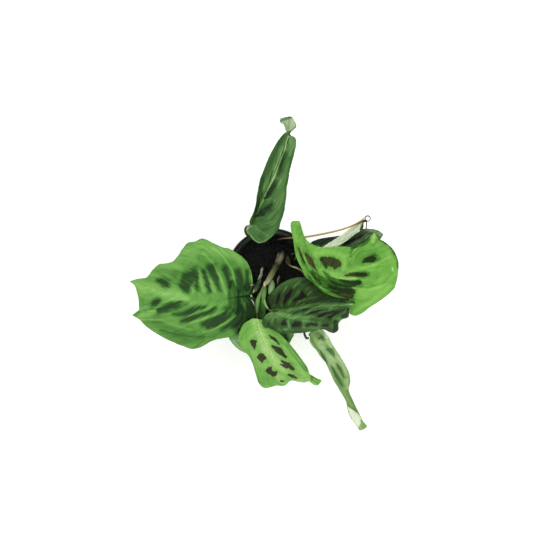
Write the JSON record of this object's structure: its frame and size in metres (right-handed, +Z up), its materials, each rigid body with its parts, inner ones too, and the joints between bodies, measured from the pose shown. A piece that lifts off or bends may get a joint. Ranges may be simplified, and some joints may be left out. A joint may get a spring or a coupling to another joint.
{
  "type": "potted prayer plant",
  "caption": "Prayer plant with broad waved leaves marked by dark blotches, on petioles over a round black plastic nursery pot filled with potting mix.",
  "frame": {"origin": "middle of the pot's base, on the surface that the pot stands on", "axes": "+Z up along the pot's axis; +X to the right and +Y to the top of the picture, which looks straight down; the large comb-marked leaf lies towards -X"},
  "size_m": [0.2871, 0.3411, 0.1439],
  "materials": {
    "pot_plastic": "moulded black polypropylene, satin",
    "potting_mix": "moist dark peat mix, crumbly and matt",
    "woody_stem": "tan sheathed stem, fibrous",
    "petiole": "green petiole with a brownish joint at the leaf, satin",
    "dry_stalk": "thin brown stalk, satin",
    "leaf_bright": "bright green leaf with dark brown-green blotches, satin",
    "leaf_dark": "dark green leaf with near-black blotches, satin",
    "leaf_pale": "pale green leaf and pale leaf underside, matt"
  },
  "bodies": {
    "root": {"pot": "pot_plastic", "soil": "potting_mix", "stem_main": "woody_stem", "runner": "dry_stalk", "runner_ring": "dry_stalk", "petiole_left": "petiole", "petiole_rear": "petiole", "petiole_front": "petiole", "petiole_middle": "petiole", "petiole_lower": "petiole", "petiole_right": "petiole", "petiole_trailing": "petiole", "petiole_back": "petiole", "petiole_under": "petiole", "leaf_left": "leaf_bright", "leaf_rear": "leaf_dark", "leaf_front": "leaf_bright", "leaf_middle": "leaf_dark", "leaf_lower": "leaf_dark", "leaf_right": "leaf_bright", "leaf_trailing": "leaf_pale", "leaf_back": "leaf_dark", "leaf_folded": "leaf_pale", "leaf_under": "leaf_pale"}
  },
  "joints": []
}
